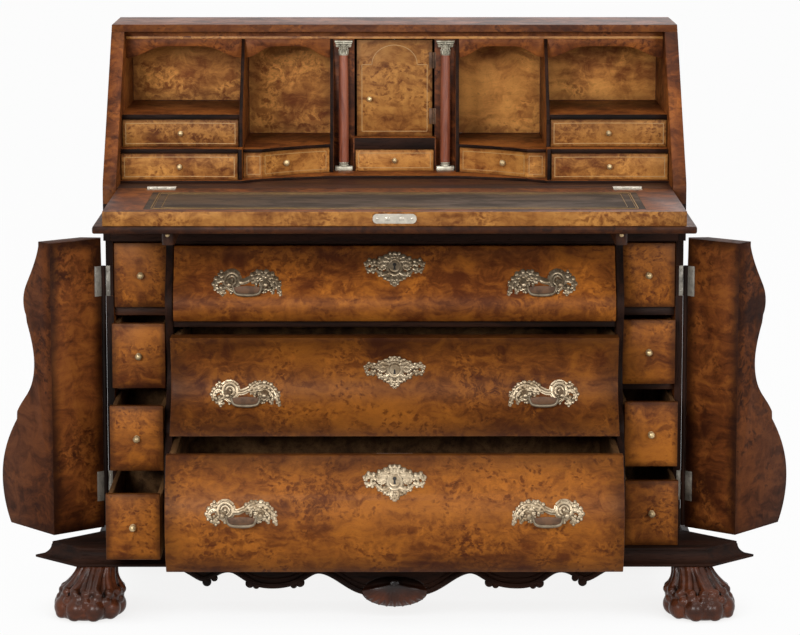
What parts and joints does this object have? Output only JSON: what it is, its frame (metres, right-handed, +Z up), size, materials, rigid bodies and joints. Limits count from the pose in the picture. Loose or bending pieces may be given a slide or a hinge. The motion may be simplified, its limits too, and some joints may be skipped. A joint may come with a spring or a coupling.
{
  "type": "escritoire",
  "caption": "Bombe chest under a slant-front writing desk: fall on pull-out slides, stepped desk interior, canted side cupboards over small drawers, carved paw feet.",
  "frame": {"origin": "on the floor, at the centre of the bounding box of the open piece", "axes": "+X to the viewer's right along the fronts, +Y to the back, +Z up"},
  "size_m": [1.4686, 0.81, 1.045],
  "materials": {
    "burl_walnut": "polished",
    "plain_walnut": "waxed",
    "carved_walnut": "polished",
    "aged_brass": "aged",
    "leather": "worn"
  },
  "bodies": {
    "carcass": {"base_platform": "burl_walnut", "paw_feet": "carved_walnut", "apron": "carved_walnut", "apron_shell": "carved_walnut", "left_side": "burl_walnut", "right_side": "burl_walnut", "top_board": "burl_walnut", "back_panel": "plain_walnut", "left_partition": "plain_walnut", "right_partition": "plain_walnut", "dust_boards": "plain_walnut", "side_bay_shelves": "plain_walnut", "waist_rail": "plain_walnut", "desk_floor": "plain_walnut", "pigeonhole_case": "burl_walnut", "interior_valances": "burl_walnut", "column_shafts": "plain_walnut", "column_mounts": "aged_brass", "fixed_hinge_leaves": "aged_brass"},
    "fall": {"fall_board": "burl_walnut", "fall_panel": "burl_walnut", "writing_leather": "leather", "fall_lock": "aged_brass", "fall_hinges": "aged_brass"},
    "left_loper": {"left_loper": "plain_walnut"},
    "right_loper": {"right_loper": "plain_walnut"},
    "top_drawer": {"top_drawer": "burl_walnut", "top_drawer_mounts": "aged_brass"},
    "top_left_bail": {"top_left_bail": "aged_brass"},
    "top_right_bail": {"top_right_bail": "aged_brass"},
    "middle_drawer": {"middle_drawer": "burl_walnut", "middle_drawer_mounts": "aged_brass"},
    "middle_left_bail": {"middle_left_bail": "aged_brass"},
    "middle_right_bail": {"middle_right_bail": "aged_brass"},
    "bottom_drawer": {"bottom_drawer": "burl_walnut", "bottom_drawer_mounts": "aged_brass"},
    "bottom_left_bail": {"bottom_left_bail": "aged_brass"},
    "bottom_right_bail": {"bottom_right_bail": "aged_brass"},
    "left_door": {"left_cupboard_door": "burl_walnut", "left_door_hinges": "aged_brass"},
    "right_door": {"right_cupboard_door": "burl_walnut", "right_door_hinges": "aged_brass"},
    "prospect_door": {"prospect_door": "burl_walnut", "prospect_fittings": "aged_brass"},
    "left_side_drawer_1": {"left_side_drawer_1": "burl_walnut"},
    "left_side_drawer_2": {"left_side_drawer_2": "burl_walnut"},
    "left_side_drawer_3": {"left_side_drawer_3": "burl_walnut"},
    "left_side_drawer_4": {"left_side_drawer_4": "burl_walnut"},
    "right_side_drawer_1": {"right_side_drawer_1": "burl_walnut"},
    "right_side_drawer_2": {"right_side_drawer_2": "burl_walnut"},
    "right_side_drawer_3": {"right_side_drawer_3": "burl_walnut"},
    "right_side_drawer_4": {"right_side_drawer_4": "burl_walnut"},
    "left_lower_drawer": {"left_lower_drawer": "burl_walnut"},
    "left_upper_drawer": {"left_upper_drawer": "burl_walnut"},
    "left_inner_drawer": {"left_inner_drawer": "burl_walnut"},
    "right_lower_drawer": {"right_lower_drawer": "burl_walnut"},
    "right_upper_drawer": {"right_upper_drawer": "burl_walnut"},
    "right_inner_drawer": {"right_inner_drawer": "burl_walnut"},
    "centre_drawer": {"centre_drawer": "burl_walnut"}
  },
  "joints": [
    {"name": "fall_hinge", "type": "hinge", "parent": "carcass", "child": "fall", "pos_m": [0, -0.0205, 0.763], "axis": [1, 0, 0], "range_deg": [-132.5, 0]},
    {"name": "left_loper_slide", "type": "slide", "parent": "carcass", "child": "left_loper", "axis": [0, -1, 0], "range_m": [-0.245, 0]},
    {"name": "right_loper_slide", "type": "slide", "parent": "carcass", "child": "right_loper", "axis": [0, -1, 0], "range_m": [-0.245, 0]},
    {"name": "top_drawer_slide", "type": "slide", "parent": "carcass", "child": "top_drawer", "axis": [0, -1, 0], "range_m": [-0.007, 0.303]},
    {"name": "top_left_bail_swing", "type": "hinge", "parent": "top_drawer", "child": "top_left_bail", "pos_m": [-0.267, -0.101, 0.59614], "axis": [-1, 0, 0], "range_deg": [0, 75]},
    {"name": "top_right_bail_swing", "type": "hinge", "parent": "top_drawer", "child": "top_right_bail", "pos_m": [0.267, -0.101, 0.59614], "axis": [-1, 0, 0], "range_deg": [0, 75]},
    {"name": "middle_drawer_slide", "type": "slide", "parent": "carcass", "child": "middle_drawer", "axis": [0, -1, 0], "range_m": [-0.109, 0.201]},
    {"name": "middle_left_bail_swing", "type": "hinge", "parent": "middle_drawer", "child": "middle_left_bail", "pos_m": [-0.267, -0.19472, 0.40944], "axis": [-1, 0, 0], "range_deg": [0, 75]},
    {"name": "middle_right_bail_swing", "type": "hinge", "parent": "middle_drawer", "child": "middle_right_bail", "pos_m": [0.267, -0.19472, 0.40944], "axis": [-1, 0, 0], "range_deg": [0, 75]},
    {"name": "bottom_drawer_slide", "type": "slide", "parent": "carcass", "child": "bottom_drawer", "axis": [0, -1, 0], "range_m": [-0.209, 0.101]},
    {"name": "bottom_left_bail_swing", "type": "hinge", "parent": "bottom_drawer", "child": "bottom_left_bail", "pos_m": [-0.267, -0.40001, 0.23422], "axis": [-1, 0, 0], "range_deg": [0, 75]},
    {"name": "bottom_right_bail_swing", "type": "hinge", "parent": "bottom_drawer", "child": "bottom_right_bail", "pos_m": [0.267, -0.40001, 0.23422], "axis": [-1, 0, 0], "range_deg": [0, 75]},
    {"name": "left_door_hinge", "type": "hinge", "parent": "carcass", "child": "left_door", "pos_m": [-0.5355, -0.0005, 0.397], "axis": [0, 0, -1], "range_deg": [-50.5, 6.5]},
    {"name": "right_door_hinge", "type": "hinge", "parent": "carcass", "child": "right_door", "pos_m": [0.5355, -0.0005, 0.397], "axis": [0, 0, 1], "range_deg": [-50.5, 6.5]},
    {"name": "prospect_door_hinge", "type": "hinge", "parent": "carcass", "child": "prospect_door", "pos_m": [0.0733, 0.23, 0.922], "axis": [0, 0, 1], "range_deg": [0, 90]},
    {"name": "left_side_drawer_1_slide", "type": "slide", "parent": "carcass", "child": "left_side_drawer_1", "axis": [0, -1, 0], "range_m": [-0.022, 0.268]},
    {"name": "left_side_drawer_2_slide", "type": "slide", "parent": "carcass", "child": "left_side_drawer_2", "axis": [0, -1, 0], "range_m": [-0.089, 0.201]},
    {"name": "left_side_drawer_3_slide", "type": "slide", "parent": "carcass", "child": "left_side_drawer_3", "axis": [0, -1, 0], "range_m": [-0.161, 0.129]},
    {"name": "left_side_drawer_4_slide", "type": "slide", "parent": "carcass", "child": "left_side_drawer_4", "axis": [0, -1, 0], "range_m": [-0.272, 0.018]},
    {"name": "right_side_drawer_1_slide", "type": "slide", "parent": "carcass", "child": "right_side_drawer_1", "axis": [0, -1, 0], "range_m": [-0.022, 0.268]},
    {"name": "right_side_drawer_2_slide", "type": "slide", "parent": "carcass", "child": "right_side_drawer_2", "axis": [0, -1, 0], "range_m": [-0.048, 0.242]},
    {"name": "right_side_drawer_3_slide", "type": "slide", "parent": "carcass", "child": "right_side_drawer_3", "axis": [0, -1, 0], "range_m": [-0.123, 0.167]},
    {"name": "right_side_drawer_4_slide", "type": "slide", "parent": "carcass", "child": "right_side_drawer_4", "axis": [0, -1, 0], "range_m": [-0.158, 0.132]},
    {"name": "left_lower_drawer_slide", "type": "slide", "parent": "carcass", "child": "left_lower_drawer", "axis": [0, -1, 0], "range_m": [0, 0.16]},
    {"name": "left_upper_drawer_slide", "type": "slide", "parent": "carcass", "child": "left_upper_drawer", "axis": [0, -1, 0], "range_m": [0, 0.16]},
    {"name": "left_inner_drawer_slide", "type": "slide", "parent": "carcass", "child": "left_inner_drawer", "axis": [0, -1, 0], "range_m": [0, 0.1]},
    {"name": "right_lower_drawer_slide", "type": "slide", "parent": "carcass", "child": "right_lower_drawer", "axis": [0, -1, 0], "range_m": [0, 0.16]},
    {"name": "right_upper_drawer_slide", "type": "slide", "parent": "carcass", "child": "right_upper_drawer", "axis": [0, -1, 0], "range_m": [0, 0.16]},
    {"name": "right_inner_drawer_slide", "type": "slide", "parent": "carcass", "child": "right_inner_drawer", "axis": [0, -1, 0], "range_m": [0, 0.1]},
    {"name": "centre_drawer_slide", "type": "slide", "parent": "carcass", "child": "centre_drawer", "axis": [0, -1, 0], "range_m": [0, 0.1]}
  ]
}
